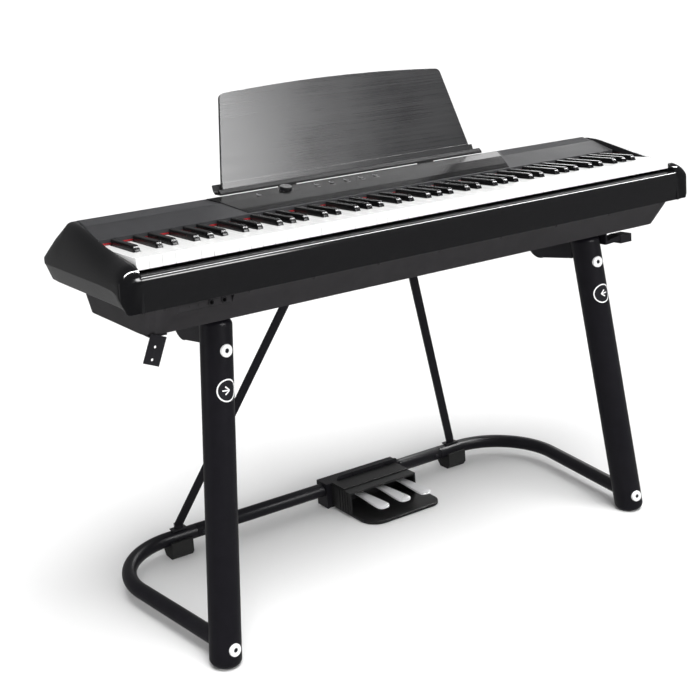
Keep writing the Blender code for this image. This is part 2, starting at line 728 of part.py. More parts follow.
def build_base_tubes():
    bore = TUBE_RADIUS - TUBE_WALL
    for name, side in names("base_tube"):
        points = rail_points(side)
        rail = add(name, tube(points, TUBE_RADIUS), "coated_steel")
        cut(rail, tube([beyond(points[1], points[0]), *points[1:-1], beyond(points[-2], points[-1])],
                       bore, resolution=2))
    ends = (-TUBE_JOINT_X + GAP, TUBE_JOINT_X - GAP)
    centre = add("base_tube_centre", tube([(x, TUBE_REAR_Y, TUBE_REAR_Z) for x in ends], TUBE_RADIUS),
                 "coated_steel")
    cut(centre, tube([(x * 1.02, TUBE_REAR_Y, TUBE_REAR_Z) for x in ends], bore, resolution=2))
    for name, side in names("rear_foot"):
        x0, x1 = sorted((side * FOOT_X[0], side * FOOT_X[1]))
        near, far, high = TUBE_REAR_Y - FOOT_HALF_Y, TUBE_REAR_Y + FOOT_HALF_Y, TUBE_REAR_Z - 3
        section = [(near + 8, FLOOR), (far - 8, FLOOR), (far, FLOOR + 10), (far, high), (near, high),
                   (near, FLOOR + 10)]
        foot = add(name, profile(section, x0, x1), "rubber")
        cut(foot, cylinder((x0 - 5, TUBE_REAR_Y, TUBE_REAR_Z), (x1 + 5, TUBE_REAR_Y, TUBE_REAR_Z),
                           TUBE_RADIUS + GAP + 0.1))


def bar(a, b, wide, thick, across):
    """Flat bar between two points, with its width along across."""
    axis = (b - a).normalized()
    side = (across - axis * across.dot(axis)).normalized()
    other = axis.cross(side)
    rings = []
    for end in (a, b):
        rings.append([tuple(end + side * (wide / 2) * i + other * (thick / 2) * j)
                      for i, j in ((-1, -1), (1, -1), (1, 1), (-1, 1))])
    return loft(rings)


def build_braces():
    for name, side in names("brace"):
        low = Vector((side * BRACE_LOW.x, BRACE_LOW.y, BRACE_LOW.z))
        high = Vector((side * BRACE_HIGH.x, BRACE_HIGH.y, BRACE_HIGH.z))
        brace = add(name, bar(low, high, 19, 5, Vector((1, 0, 0))), "coated_steel")
        saddle = TUBE_REAR_Z + TUBE_RADIUS + GAP
        join(brace, box(low.x - 17, low.x + 17, TUBE_REAR_Y - 9, TUBE_REAR_Y + 9, saddle, saddle + 3),
             box(low.x - 9, low.x + 9, TUBE_REAR_Y - 3, TUBE_REAR_Y + 3, saddle + 1, low.z + 6),
             box(high.x - 20, high.x + 20, 232, 283, BOTTOM_Z - GAP - 3, BOTTOM_Z - GAP),
             box(high.x - 11, high.x + 11, high.y - 4, high.y + 4, high.z - 14, BOTTOM_Z - GAP - 1))


def build_support_arms():
    """Flange and gusset behind each leg; the right arm also carries a pad beside the leg."""
    top = BOTTOM_Z - GAP
    for name, side in names("support_arm"):
        x = side * ARM_X
        web = [(108, top - 2), (108, top - 61)] + arc(203, top - 37, 36, 248, 375, 9) + [(238, top - 2)]
        arm = add(name, box(x - 34, x + 34, 42, 246, top - 3, top), "coated_steel")
        join(arm, profile(web, x - 4, x + 4))
    wedge = [(473, top - 1), (477, top - 1), (477, -159), (518, -151.5), (518, -163.5), (473, -166)]
    fin = outline_mesh(wedge, 26)
    turn = Matrix(((1, 0, 0, 0), (0, 0, -1, 0), (0, 1, 0, 0), (0, 0, 0, 1)))
    fin.transform(Matrix.Translation(place(0, 60, 0)) @ turn)
    join(arm, box(470, 476, 47.5, 72.5, top - 2.9, top - 0.5))
    join(arm, fin)
    join(arm, box(516, 548, 46, 74, -170, -152.5))


def build_hook_strip():
    top = BOTTOM_Z - GAP
    a, b = Vector((-575, 20, top - 1)), Vector((-594, 20, top - 47))
    strip = add("hook_strip", bar(a, b, 29, 2.5, Vector((1, 0, 0))), "coated_steel")
    join(strip, box(-591, -560, 19, 60, top - 2.5, top))
    cut(strip, merged([cylinder((x, 12, z), (x, 28, z), 2.6, sides=12)
                       for x, z in ((-583.5, -154), (-591, -174))]))


# ------------------------------------------------------------------ pedals
def build_pedal_unit():
    x0, x1, y0, y1 = PEDAL_BASE
    front = arc(x0 + 40, y0 + 40, 40, 180, 270, 6) + arc(x1 - 30, y0 + 30, 30, 270, 360, 6)
    base = add("pedal_base", plate(front + [(x1, y1), (x0, y1)], FLOOR + 1.0, FLOOR + 8.0), "rubber")
    base.modifiers.new("soft_edge", "BEVEL").width = 1.2 * MM
    hx0, hx1, hy0, hy1 = HOUSING
    housing = add("pedal_housing", box(hx0, hx1, hy0, hy1, FLOOR + 8 + GAP, HOUSING_TOP),
                  "pedal_plastic")
    cut(housing, box(hx0 + 4, hx1 - 4, hy0 + 3, hy1 - 3, FLOOR, HOUSING_TOP - 3))
    cut(housing, box(hx0 + 4, hx1 - 4, hy0 - 5, hy0 + 5, FLOOR, HOUSING_TOP - 4.5))
    for name, x in zip(("pedal_left", "pedal_middle", "pedal_right"), PEDAL_X):
        build_pedal(name, x)
    build_clamp()


def build_pedal(name, x):
    """Tapered level lever, wider at its rounded tip, with a pivot boss inside the housing."""
    tip = PEDAL_TIP
    pivot_y, pivot_z = PEDAL_HINGE
    outline = ([(x - 9, 436), (x - 9, 392), (x - 15, tip + 22)]
               + arc(x - 8, tip + 7, 7, 185, 265, 4) + arc(x + 8, tip + 7, 7, 275, 355, 4)
               + [(x + 15, tip + 22), (x + 9, 392), (x + 9, 436)])
    pedal = add(name, plate(outline, pivot_z - 2.5, pivot_z + 2.5), "chrome", place(x, pivot_y, pivot_z))
    join(pedal, cylinder((x - 10, pivot_y, pivot_z), (x + 10, pivot_y, pivot_z), 6.0, sides=16))


def build_clamp():
    """Saddle round the rear tube, with a slotted strip standing up along its front."""
    x0, x1 = -5.0, 205.0
    wall_y = 444.6
    top = TUBE_REAR_Z + TUBE_RADIUS + 2 * GAP
    clamp = add("pedal_clamp", box(x0, x1, wall_y, 484, top, top + 3), "coated_steel")
    strip = [(26, top + 1), (195, top + 1), (195, -681)] + arc(191, -683, 4, 40, 90, 2) \
        + arc(38, -691, 12, 90, 180, 4)
    face = outline_mesh(strip, 3.4)
    turn = Matrix(((1, 0, 0, 0), (0, 0, -1, 0), (0, 1, 0, 0), (0, 0, 0, 1)))
    face.transform(Matrix.Translation(place(0, wall_y + 1.8, 0)) @ turn)
    join(clamp, face)
    join(clamp, box(x0, x1, wall_y, wall_y + 3.6, FLOOR + 3, top + 1))
    join(clamp, merged([box(a, a + 4, wall_y, 485, FLOOR + 2, top + 1) for a in (x0, x1 - 4)]))
    cut(clamp, cylinder((x0 - 5, TUBE_REAR_Y, TUBE_REAR_Z), (x1 + 5, TUBE_REAR_Y, TUBE_REAR_Z),
                        TUBE_RADIUS + GAP),
        merged([box(x - 1, x + 1, 440, 452, top + 5, top + 25) for x in (68, 159)]))


build_upper_case()
build_lower_case()
build_top_panel()
build_grilles()
build_speakers()
build_console()
build_internals()
build_socket_plates()
build_keys()
build_music_rest()
build_legs()
build_base_tubes()
build_braces()
build_support_arms()
build_hook_strip()
build_pedal_unit()
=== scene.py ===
"""Looks of the digital piano on its stand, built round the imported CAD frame."""
from math import atan2, cos, pi, radians, sin, sqrt, tan

import bmesh
import bpy
from mathutils import Matrix, Vector


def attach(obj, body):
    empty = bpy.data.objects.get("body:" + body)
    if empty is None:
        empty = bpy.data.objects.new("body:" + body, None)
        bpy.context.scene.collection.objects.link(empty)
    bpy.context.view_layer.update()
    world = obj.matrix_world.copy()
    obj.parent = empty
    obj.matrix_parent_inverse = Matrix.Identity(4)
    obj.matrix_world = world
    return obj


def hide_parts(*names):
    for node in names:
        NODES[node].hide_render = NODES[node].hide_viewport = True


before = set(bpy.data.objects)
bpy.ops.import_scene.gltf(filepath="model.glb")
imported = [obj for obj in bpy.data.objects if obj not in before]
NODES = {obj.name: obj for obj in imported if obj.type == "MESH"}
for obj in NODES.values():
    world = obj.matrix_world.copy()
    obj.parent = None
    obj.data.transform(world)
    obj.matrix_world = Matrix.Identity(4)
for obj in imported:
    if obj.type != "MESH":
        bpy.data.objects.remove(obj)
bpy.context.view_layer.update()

# ------------------------------------------------------------------ dimensions
# The CAD file's own measures, mm: x = 0 is the middle, y = 0 the white keys' front, z = 0 their top.
MM = 0.001
KEY_HEIGHT = 750.0
FRONT_SHIFT = 233.0
FLOOR = -KEY_HEIGHT
KEY_PITCH = 23.5
WHITE_COUNT = 52
OCTAVE = 7 * KEY_PITCH
KEYS_LEFT = -KEY_PITCH * WHITE_COUNT / 2
FIRST_C = KEYS_LEFT + 2 * KEY_PITCH
FIRST_BLACK = KEYS_LEFT + 26.86
BLACKS_IN_OCTAVE = (21.15, 49.35, 90.64, 117.5, 144.36)
BLACK_HALF_LOW, BLACK_HALF_TOP, BLACK_TOP = 6.85, 4.9, 10.5
KEY_SIDE_GAP = 0.45            # from a white key's side to its neighbour's, halved
BLACK_SIDE_GAP = 0.9
NOTCH_Y = 49.0                 # where a white key narrows beside the black ones
WHITE_REAR_Y, WHITE_THICK = 200.0, 20.0
MIDDLE_WHITE = 2 + 7 * 3       # index of C4
MIDDLE_BLACK = 1 + 5 * 3       # index of C sharp 4
WHITE_NOTES = ("c4", "d4", "e4", "f4", "g4", "a4", "b4")
BLACK_NOTES = ("c_sharp4", "d_sharp4", "f_sharp4", "g_sharp4", "a_sharp4")

BODY_HALF, WELL_HALF = 650.0, 612.0
FRONT_Y, REAR_Y, SEAM_Z = -20.0, 328.0, -85.0
CONSOLE_START = (201.0, 30.5)  # (y, z) of a point on the console's face
CONSOLE_RISE, CONSOLE_RUN = 7.5, 35.0
KNOB_AT = (-192.0, 216.0)
JACKS_X = (-486.0, -462.0)

LEG_RADIUS = 29.0
LEG_HIGH = Vector((440.9, 74.3, -150.0))
LEG_LOW = Vector((499.0, 35.7, -710.0))
LEG_TOP_Z, LEG_FOOT_Z = -142.5, -749.0
LEG_ROUND = 13.0               # rounding of a leg's two ends
CAP_TURN = radians(7.0)
CAP_HEIGHTS = (("upper", -197.0), ("lower", -714.6))
CAP_SINK = 2.5
LABEL_Z = -265.0
FILM = 0.35                    # thickness of the leg labels
TUBE_RADIUS = 15.0
TUBE_FRONT_Z, TUBE_REAR_Z, TUBE_REAR_Y = -713.4, -708.8, 464.5
TUBE_BEND, TUBE_BEND_X = 145.0, 395.6
RAIL_ANGLE = radians(8.7)
TUBE_JOINT_X = 333.0
TUBE_START_Y = 60.0
PEDAL_X = (49.0, 107.0, 165.0)
PEDAL_TIP_Y, PEDAL_Z, PEDAL_HALF_THICK = 296.0, -708.5, 2.5
HOUSING_X = (8.0, 190.0)

REST_LEAN = radians(14.3)
REST_AT = (262.0, 44.0)
REST_HALF, REST_HEIGHT, REST_CROWN, REST_THICK = (306.0, 272.0), 185.0, 9.0, 6.0
REST_CORNER = 13.0


def place(x, y, z):
    return Vector((x * MM, (y - FRONT_SHIFT) * MM, (z + KEY_HEIGHT) * MM))


def between(low, high, t):
    return low + (high - low) * t


# ------------------------------------------------------------------ materials
class Graph:
    """A material's node tree, with short calls to add and link nodes."""

    def __init__(self, name):
        self.material = bpy.data.materials.new(name)
        self.material.use_nodes = True
        self.tree = self.material.node_tree
        self.shader = self.tree.nodes["Principled BSDF"]
        self.coords = self.tree.nodes.new("ShaderNodeTexCoord").outputs["Object"]

    def node(self, kind, **inputs):
        made = self.tree.nodes.new("ShaderNode" + kind)
        for key, value in inputs.items():
            key = key.replace("_", " ")
            if isinstance(value, bpy.types.NodeSocket):
                self.tree.links.new(value, made.inputs[key])
            else:
                made.inputs[key].default_value = value
        return made

    def link(self, source, socket):
        self.tree.links.new(source, self.shader.inputs[socket])

    def stretched(self, scale):
        return self.node("Mapping", Vector=self.coords, Scale=scale).outputs["Vector"]

    def noise(self, scale, detail=3.0, vector=None, roughness=0.55):
        return self.node("TexNoise", Vector=vector or self.coords, Scale=scale, Detail=detail,
                         Roughness=roughness).outputs["Fac"]

    def ramp(self, factor, low, high, start=0.0, end=1.0):
        made = self.node("ValToRGB", Fac=factor)
        made.color_ramp.elements[0].position = start
        made.color_ramp.elements[0].color = (*low, 1.0)
        made.color_ramp.elements[1].position = end
        made.color_ramp.elements[1].color = (*high, 1.0)
        return made.outputs["Color"]

    def ranged(self, value, low, high, start=0.3, end=0.7):
        made = self.node("MapRange", Value=value, From_Min=start, From_Max=end, To_Min=low, To_Max=high)
        return made.outputs["Result"]

    def math(self, operation, a, b=0.0):
        made = self.tree.nodes.new("ShaderNodeMath")
        made.operation = operation
        for socket, value in zip(made.inputs, (a, b)):
            if isinstance(value, bpy.types.NodeSocket):
                self.tree.links.new(value, socket)
            else:
                socket.default_value = value
        return made.outputs["Value"]

    def bump(self, height, strength, distance):
        bumped = self.node("Bump", Height=height, Strength=strength, Distance=distance)
        self.link(bumped.outputs["Normal"], "Normal")

    def set(self, socket, value):
        self.shader.inputs[socket].default_value = value


def scaled(colour, factor):
    return tuple(min(1.0, c * factor) for c in colour)


def moulded(name, colour, rough, spread=0.04, grain=0.0, grain_scale=900.0, metallic=0.0,
            vary=0.12, level=0.5):
    """Plastic, paint or metal with uneven sheen, faint colour drift, a fine grain, and sharp edges
    painted paler as a painted highlight.
    """
    g = Graph(name)
    g.set("Metallic", metallic)
    g.set("Specular IOR Level", level)
    broad = g.noise(6.0, 4.0)
    g.link(g.ranged(broad, max(0.02, rough - spread), rough + spread), "Roughness")
    fine = g.noise(40.0, 3.0)
    # painted highlight: sharp edges, found by pointiness, are mixed toward a paler colour
    edges = g.node("NewGeometry").outputs["Pointiness"]
    edge_highlight = g.ranged(edges, 0.0, 1.0, 0.52, 0.62)
    drift = g.ramp(fine, scaled(colour, 1 - vary), scaled(colour, 1 + vary), 0.3, 0.7)
    mixed = g.tree.nodes.new("ShaderNodeMix")
    mixed.data_type = "RGBA"
    factor, first, second, result = mixed.inputs[0], mixed.inputs[6], mixed.inputs[7], mixed.outputs[2]
    g.tree.links.new(g.math("MULTIPLY", edge_highlight, 0.22), factor)
    g.tree.links.new(drift, first)
    # the paler colour of the painted edge highlight
    second.default_value = (*scaled([c + 0.02 for c in colour], 1.6), 1.0)
    g.link(result, "Base Color")
    if grain:
        g.bump(g.noise(grain_scale, 2.0), grain, 0.0003)
    return g.material


def brushed(name, colour, rough):
    """Dark board with fine lines drawn along its length."""
    g = Graph(name)
    lines = g.noise(1.0, 4.0, g.stretched((3.0, 900.0, 900.0)), 0.7)
    cloud = g.noise(5.0, 3.0)
    g.link(g.ramp(lines, scaled(colour, 0.9), scaled(colour, 1.1), 0.3, 0.7), "Base Color")
    g.link(g.math("ADD", g.ranged(lines, rough - 0.05, rough + 0.05), g.ranged(cloud, -0.03, 0.03)),
           "Roughness")
    g.bump(lines, 0.07, 0.0002)
    g.set("Specular IOR Level", 0.6)
    return g.material


def speaker_cloth(name, colour):
    """Woven cloth: two crossing sets of threads, 0.8 mm apart."""
    g = Graph(name)
    axes = g.node("SeparateXYZ", Vector=g.coords)
    wave = 2 * pi / 0.0016
    across = g.math("SINE", g.math("MULTIPLY", axes.outputs["X"], wave))
    along = g.math("SINE", g.math("MULTIPLY", axes.outputs["Y"], wave))
    weave = g.math("ABSOLUTE", g.math("MULTIPLY", across, along))
    g.link(g.ramp(weave, scaled(colour, 1.35), scaled(colour, 0.35), 0.15, 0.9), "Base Color")
    g.bump(weave, 0.6, 0.0004)
    g.set("Roughness", 0.75)
    g.set("Specular IOR Level", 0.1)
    return g.material


def felt(name, colour):
    """Short fibres with a soft sheen."""
    g = Graph(name)
    fibre = g.noise(1400.0, 4.0)
    g.link(g.ramp(fibre, scaled(colour, 0.6), scaled(colour, 1.35), 0.3, 0.7), "Base Color")
    g.bump(fibre, 0.8, 0.0004)
    g.set("Roughness", 0.95)
    g.set("Sheen Weight", 0.5)
    return g.material


def circuit(name):
    """Green board with lighter tracks."""
    g = Graph(name)
    tracks = g.node("TexBrick", Vector=g.coords, Scale=120.0).outputs["Fac"]
    g.link(g.ramp(tracks, (0.01, 0.12, 0.04), (0.05, 0.3, 0.1)), "Base Color")
    g.set("Roughness", 0.4)
    return g.material


M = {
    "gloss": moulded("gloss_black", (0.0028, 0.0028, 0.0034), 0.11, 0.02, vary=0.1, level=0.3),
    "lower": moulded("matte_charcoal", (0.022, 0.0205, 0.0225), 0.5, 0.05, grain=0.35, level=0.28),
    "panel": moulded("matte_panel", (0.020, 0.020, 0.022), 0.5, 0.04, grain=0.4, grain_scale=1400,
                     level=0.12),
    "console": moulded("console_gloss", (0.003, 0.003, 0.0034), 0.2, 0.03, vary=0.1, level=0.04),
    "cloth": speaker_cloth("speaker_cloth", (0.04, 0.04, 0.043)),
    "cone": moulded("speaker_cone", (0.02, 0.02, 0.021), 0.7, 0.05, grain=0.3),
    "ivory": moulded("key_white", (0.93, 0.93, 0.925), 0.2, 0.04, vary=0.01, level=0.5),
    "ebony": moulded("key_black", (0.003, 0.003, 0.0034), 0.24, 0.05, grain=0.1, level=0.25),
    "felt": felt("red_felt", (0.42, 0.006, 0.012)),
    "steel": moulded("powder_coat", (0.0065, 0.006, 0.0085), 0.34, 0.05, grain=0.4, grain_scale=1600,
                     level=0.22),
    "board": brushed("brushed_board", (0.005, 0.0048, 0.0065), 0.3),
    "ledge": moulded("ledge_black", (0.003, 0.003, 0.0035), 0.6, 0.05, grain=0.2, level=0.1),
    "cap": moulded("cap_white", (0.83, 0.83, 0.83), 0.35, 0.04, vary=0.02),
    "hex": moulded("hex_dark", (0.03, 0.03, 0.035), 0.35, 0.05, metallic=0.6),
    "label": moulded("label_dark", (0.005, 0.005, 0.008), 0.4, 0.04, level=0.35),
    "chrome": moulded("pedal_silver", (0.80, 0.80, 0.81), 0.28, 0.05, metallic=0.35, vary=0.03),
    "socket": moulded("socket_rim", (0.03, 0.03, 0.032), 0.25, 0.05, metallic=0.5, vary=0.05),
    "rubber": moulded("rubber_black", (0.008, 0.008, 0.008), 0.7, 0.06, grain=0.5, level=0.3),
    "pedalbox": moulded("pedal_plastic", (0.0065, 0.0065, 0.0068), 0.4, 0.06, grain=0.35, level=0.35),
    "chassis": moulded("chassis_dark", (0.012, 0.012, 0.013), 0.6, 0.05, grain=0.3),
    "button": moulded("button_black", (0.006, 0.006, 0.007), 0.3, 0.04, level=0.35),
    "print": moulded("print_grey", (0.30, 0.30, 0.31), 0.5, 0.03, vary=0.05),
    "circuit": circuit("circuit_board"),
}


# ------------------------------------------------------------------ mesh helpers
def mesh_from(bm, name):
    bmesh.ops.recalc_face_normals(bm, faces=bm.faces[:])
    mesh = bpy.data.meshes.new(name)
    bm.to_mesh(mesh)
    bm.free()
    return mesh


def put(name, data):
    """New object in the scene."""
    obj = bpy.data.objects.new(name, data)
    bpy.context.scene.collection.objects.link(obj)
    return obj


def piece(name, mesh, material, body="piano", stands_for=(), bevel=0.0, angle=30):
    """A finished piece riding on a CAD body, with its edges softened."""
    obj = put(name, mesh)
    mesh.materials.clear()
    mesh.materials.append(M[material])
    mesh.shade_smooth()
    mesh.set_sharp_from_angle(angle=radians(angle))
    if bevel:
        soften(obj, bevel, angle)
    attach(obj, body)
    if stands_for:
        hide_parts(*stands_for)
    return obj


def soften(obj, width, angle, segments=3):
    step = obj.modifiers.new("soft_edge", "BEVEL")
    step.width = width * MM
    step.segments = segments
    step.limit_method = "ANGLE"
    step.angle_limit = radians(angle)
    step.harden_normals = True
    step.use_clamp_overlap = True


def bridge(bm, near, far):
    """Wall of four-sided faces between two closed rows of vertices."""
    for i in range(len(near)):
        j = (i + 1) % len(near)
        bm.faces.new((near[i], near[j], far[j], far[i]))


def loft(rings, name):
    """Closed body through rings of points."""
    bm = bmesh.new()
    loops = [[bm.verts.new(place(*point)) for point in ring] for ring in rings]
    for near, far in zip(loops, loops[1:]):
        bridge(bm, near, far)
    bm.faces.new(loops[0])
    bm.faces.new(loops[-1])
    return mesh_from(bm, name)


def prism(outlines, name):
    """Closed bodies, each an (x, y, z) ring swept by a vector: (ring, (dx, dy, dz))."""
    bm = bmesh.new()
    for ring, sweep in outlines:
        low = [bm.verts.new(place(*point)) for point in ring]
        high = [bm.verts.new(place(*(a + b for a, b in zip(point, sweep)))) for point in ring]
        bm.faces.new(low)
        bm.faces.new(high)
        bridge(bm, low, high)
    return mesh_from(bm, name)


def flat(points, z):
    return [(x, y, z) for x, y in points]


def arc(cx, cy, radius, start, end, steps):
    turns = [radians(start + (end - start) * i / steps) for i in range(steps + 1)]
    return [(cx + radius * cos(t), cy + radius * sin(t)) for t in turns]


def filleted(points, radii, steps=5):
    """Polyline corners replaced by smooth curves that start radius away from the corner."""
    out = []
    count = len(points)
    for i, (point, radius) in enumerate(zip(points, radii)):
        p = Vector(point)
        if radius <= 0:
            out.append(tuple(p))
            continue
        a, b = Vector(points[i - 1]) - p, Vector(points[(i + 1) % count]) - p
        start = p + a.normalized() * min(radius, a.length * 0.49)
        end = p + b.normalized() * min(radius, b.length * 0.49)
        for k in range(steps + 1):
            t = k / steps
            out.append(tuple(start * (1 - t) ** 2 + p * (2 * t * (1 - t)) + end * t ** 2))
    return out


def circle(centre, side, other, radius, sides):
    """Points round a circle that spans the directions side and other."""
    angles = (2 * pi * k / sides for k in range(sides))
    return [tuple(centre + (side * cos(a) + other * sin(a)) * radius) for a in angles]


def tube(points, radius, name, sides=40):
    """Round tube through points, rings held square to the path."""
    rings = []
    for i, point in enumerate(points):
        here = Vector(point)
        ahead = Vector(points[min(i + 1, len(points) - 1)])
        behind = Vector(points[max(i - 1, 0)])
        axis = (ahead - behind).normalized()
        side = axis.cross(Vector((0, 0, 1))).normalized()
        rings.append(circle(here, side, side.cross(axis), radius, sides))
    return loft(rings, name)


def turned(start, axis, stations, name, sides=48):
    """Turned body: stations are (distance along the axis, radius)."""
    axis = Vector(axis).normalized()
    hint = Vector((0, 1, 0)) if abs(axis.y) < 0.9 else Vector((1, 0, 0))
    side = axis.cross(hint).normalized()
    other = axis.cross(side)
    return loft([circle(Vector(start) + axis * distance, side, other, radius, sides)
                 for distance, radius in stations], name)


def names(stem):
    """The left and right piece of a pair, with the sign of x on that side."""
    return ((stem + "_left", -1), (stem + "_right", 1))


# ------------------------------------------------------------------ case
def profile_at(table, y):
    """Piecewise-linear value of a table of (y, value)."""
    for (y0, a), (y1, b) in zip(table, table[1:]):
        if y <= y1:
            return between(a, b, (y - y0) / (y1 - y0))
    return table[-1][1]


# Tables of (y, value) along an end cheek: height of the edge beside the keys, height of the ridge,
# power of the superellipse from the ridge to the lip, and height of the band below the lip.
INNER = ((-20, -38), (-19.2, -32), (-17, -26.5), (-13.5, -20.5), (-9, -15.7), (-2, -12), (6, -9.7),
         (50, -4), (98, 2), (145, 11), (170, 19.5), (201, 29.5), (232, 36.0), (238, 35.8), (283, -1),
         (308, -20), (322, -31), (REAR_Y, -37))
RIDGE = ((-20, -38), (-19.2, -32), (-17, -26.5), (-13.5, -20.5), (-9, -15.6), (-2, -11.8), (6, -9.3),
         (50, -3.7), (98, 8), (145, 20), (170, 26), (201, 32.5), (232, 36.2), (238, 35.9), (283, -1),
         (308, -20), (322, -31), (REAR_Y, -37))
POWER = ((-20, 2.0), (236, 2.1), (250, 2.5), (267, 3.7), (285, 4.6), (308, 6.0), (REAR_Y, 6.0))
BAND = ((-20, -79), (-17, -75), (-11, -63), (-2, -53), (16, -48), (67, -46), (REAR_Y, -45.5))
UNDERSIDE = ((-20, -84), (-6, -81), (20, -78.5), (300, -78.5), (REAR_Y, -76))
FRONT_CORNER, REAR_CORNER = 14.0, 8.0
RIDGE_X = 620.0
BAND_SLANT, BAND_DROP = 13.5, -33.0    # the band leans in by the first over the second


def edge_inset(y):
    """How far the cheek's outer edge is drawn in by the round corners."""
    for corner, distance in ((FRONT_CORNER, y - FRONT_Y), (REAR_CORNER, REAR_Y - y)):
        if distance < corner:
            return corner - sqrt(max(0.0, corner ** 2 - (corner - distance) ** 2))
    return 0.0


def cheek_ring(y, side):
    """Section of an end cheek: flat ridge by the keys, a superellipse over to the lip, a band."""
    out = BODY_HALF - edge_inset(y) - 0.2
    inner, ridge = profile_at(INNER, y), profile_at(RIDGE, y)
    power = profile_at(POWER, y)
    lip = min(-40.0, inner - 2.0)
    band = min(profile_at(BAND, y), lip - 1.0)
    low = profile_at(UNDERSIDE, y)
    points = [(WELL_HALF, SEAM_Z), (WELL_HALF, inner - 0.6), (WELL_HALF + 0.6, inner),
              (RIDGE_X - 1.2, ridge - 0.15)]
    for angle in (*range(88, 0, -8), 0):
        across, up = cos(radians(angle)) ** (2 / power), sin(radians(angle)) ** (2 / power)
        points.append((between(RIDGE_X, out, across), between(lip, ridge, up)))
    slant = BAND_SLANT * (low - band) / BAND_DROP
    foot = out - slant
    wall = RIDGE_X - 2
    points += [(out - 0.1, band),
               (out - 0.1 - 0.12 * slant, band - 1.6 * (low - band) / BAND_DROP - 0.2),
               (foot + 0.6, low + 0.8), (foot - 0.2, low), (wall, low - 0.01), (wall, SEAM_Z)]
    return [(side * x, y, z) for x, z in points]


def along_case(name, corners, radii, steps):
    """A rounded (y, z) section that runs along the case between the cheeks."""
    ring = [(-WELL_HALF, y, z) for y, z in filleted(corners, radii, steps)]
    piece(name, prism([(ring, (2 * WELL_HALF, 0, 0))], name), "gloss", stands_for=("upper_case",),
          angle=35)


def build_upper_case():
    """Two cheeks, the front rail and the rear shell, which together stand for the upper case."""
    stations = [FRONT_Y + FRONT_CORNER * (1 - cos(radians(a))) for a in range(0, 91, 9)]
    stations += [-2, 6, 14, 24, 36, 50, 74, 98, 120, 139, 153, 167, 185, 201, 217, 229, 234, 238, 243,
                 255, 270, 283, 295]
    stations += [REAR_Y - REAR_CORNER * (1 - cos(radians(a))) for a in range(90, -1, -10)]
    for name, side in names("case_cheek"):
        piece(name, loft([cheek_ring(y, side) for y in stations], name), "gloss",
              stands_for=("upper_case",), angle=32)
    low = SEAM_Z
    front = [(-17.5, low), (FRONT_Y, -55), (FRONT_Y, -27), (-1.5, -24.8), (-1.5, -28),
             (-10, -31), (-15, -38), (-16, -46), (-11.5, low)]
    along_case("front_rail", front, (0.6, 6, 10, 0.5, 0.4, 2, 2, 1, 0), 10)
    rear = [(236.5, 36.2), (240, 35.4), (283, -1), (REAR_Y - 2, -34), (REAR_Y, -38), (279, low),
            (275.5, low), (322, -41), (280, -5), (240, 30), (236.5, 30.5)]
    along_case("rear_shell", rear, (0.5, 2.5, 8, 3, 3, 0.4, 0.4, 1, 1, 1, 0), 4)


# ------------------------------------------------------------------ keys
def black_centres():
    """Where the 36 black keys' centres are along x."""
    centres = [FIRST_BLACK]
    for octave in range(7):
        centres += [FIRST_C + OCTAVE * octave + step for step in BLACKS_IN_OCTAVE]
    return centres


BLACKS = black_centres()


def white_outline(index):
    """Plan of a white key, notched where the black keys stand beside it."""
    left = KEYS_LEFT + KEY_PITCH * index + KEY_SIDE_GAP
    right = KEYS_LEFT + KEY_PITCH * (index + 1) - KEY_SIDE_GAP
    reach = BLACK_HALF_LOW + BLACK_SIDE_GAP
    tail_left, tail_right = left, right
    for centre in BLACKS:
        if left < centre + reach < right:
            tail_left = centre + reach
        if left < centre - reach < right:
            tail_right = centre - reach
    points, radii = [(left, 0.0), (right, 0.0)], [1.2, 1.2]
    if tail_right < right:
        points += [(right, NOTCH_Y), (tail_right, NOTCH_Y)]
        radii += [1.5, 1.0]
    points += [(tail_right, WHITE_REAR_Y), (tail_left, WHITE_REAR_Y)]
    radii += [0, 0]
    if tail_left > left:
        points += [(tail_left, NOTCH_Y), (left, NOTCH_Y)]
        radii += [1.0, 1.5]
    return filleted(points, radii, steps=3)


def black_shape(centre):
    """Rings of a black key along y; each station is (y, how far the top has risen)."""
    low, high = BLACK_HALF_LOW, BLACK_HALF_TOP
    foot = -8.0
    stations = [(50.0, 0.0), (50.4, 0.35), (52.0, 0.62), (54.4, 0.86), (57.5, 0.97), (61.5, 1.0),
                (110.0, 1.0), (146.0, 1.0)]
    rings = []
    for y, rise in stations:
        top = between(-4.0, BLACK_TOP, rise)
        half_top = between(low, high, (top - foot) / (BLACK_TOP - foot)) - (0.6 if rise < 0.4 else 0)
        points = [(-low, foot), (low, foot), (half_top, top), (-half_top, top)]
        ring = filleted(points, (0.3, 0.3, 2.0, 2.0), steps=4)
        rings.append([(centre + x, y, z) for x, z in ring])
    return rings


def joined(meshes, name):
    """Several meshes as one, each body still closed on its own."""
    bm = bmesh.new()
    for mesh in meshes:
        bm.from_mesh(mesh)
    made = bpy.data.meshes.new(name)
    bm.to_mesh(made)
    bm.free()
    return made


def white_mesh(first, last, name):
    outlines = [flat(white_outline(i), -WHITE_THICK) for i in range(first, last)]
    return prism([(ring, (0, 0, WHITE_THICK)) for ring in outlines], name)


